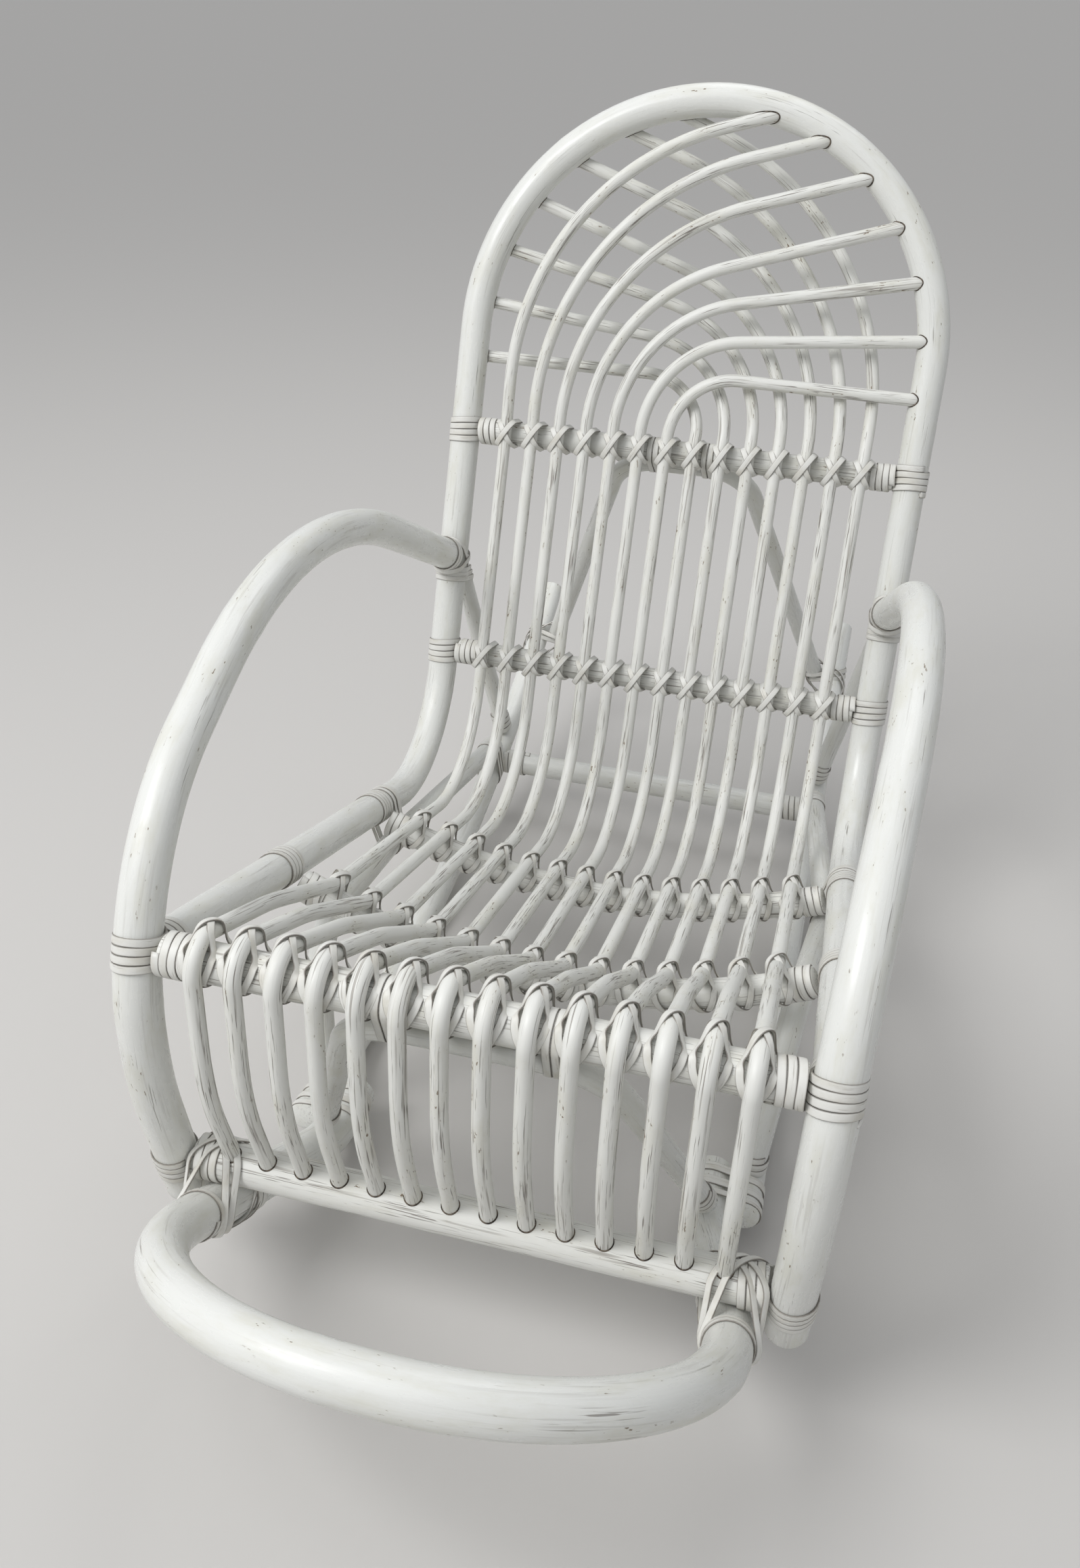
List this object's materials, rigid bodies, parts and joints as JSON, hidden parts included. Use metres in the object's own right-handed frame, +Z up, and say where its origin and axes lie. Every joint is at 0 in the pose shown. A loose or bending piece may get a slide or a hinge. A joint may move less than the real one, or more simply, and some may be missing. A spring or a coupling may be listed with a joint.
{
  "type": "rocking chair",
  "caption": "Bent-cane lounge rocking chair with a hooped back of fanned canes, bowed arms, dished slatted seat and long rocker runners with an upturned front loop.",
  "frame": {"origin": "on the floor, under the middle of the chair's length and width", "axes": "+Z up, the chair faces -Y, +X to the right of someone facing it"},
  "size_m": [0.5832, 1.3402, 0.8781],
  "materials": {
    "pole_cane": "glossy white paint on thick bent cane, worn in places",
    "spindle_cane": "thin white paint over cane with dark grain streaks",
    "cane_strip": "white-painted flat cane strip with dark edges"
  },
  "bodies": {
    "root": {"arm_left": "pole_cane", "arm_right": "pole_cane", "back_hoop": "pole_cane", "diagonal_brace_left": "pole_cane", "diagonal_brace_right": "pole_cane", "front_arch": "pole_cane", "front_bottom_rail": "pole_cane", "front_loop": "pole_cane", "front_seat_rail": "pole_cane", "lashings_arm_joints": "cane_strip", "lashings_back_posts": "cane_strip", "lashings_front_corners": "cane_strip", "lashings_front_seat_rail": "cane_strip", "lashings_lower_back_rail": "cane_strip", "lashings_middle_seat_rail": "cane_strip", "lashings_rail_ends": "cane_strip", "lashings_rear_joints": "cane_strip", "lashings_rear_seat_rail": "cane_strip", "lashings_seat_posts": "cane_strip", "lashings_upper_back_rail": "cane_strip", "lower_back_rail": "pole_cane", "middle_seat_rail": "pole_cane", "rear_arch": "pole_cane", "rear_cross_bar": "pole_cane", "rear_seat_rail": "pole_cane", "runner_left": "pole_cane", "runner_right": "pole_cane", "seat_bracket_left": "pole_cane", "seat_bracket_right": "pole_cane", "spindle_01": "spindle_cane", "spindle_02": "spindle_cane", "spindle_03": "spindle_cane", "spindle_04": "spindle_cane", "spindle_05": "spindle_cane", "spindle_06": "spindle_cane", "spindle_07": "spindle_cane", "spindle_08": "spindle_cane", "spindle_09": "spindle_cane", "spindle_10": "spindle_cane", "spindle_11": "spindle_cane", "spindle_12": "spindle_cane", "spindle_13": "spindle_cane", "spindle_14": "spindle_cane", "upper_back_rail": "pole_cane"}
  },
  "joints": []
}
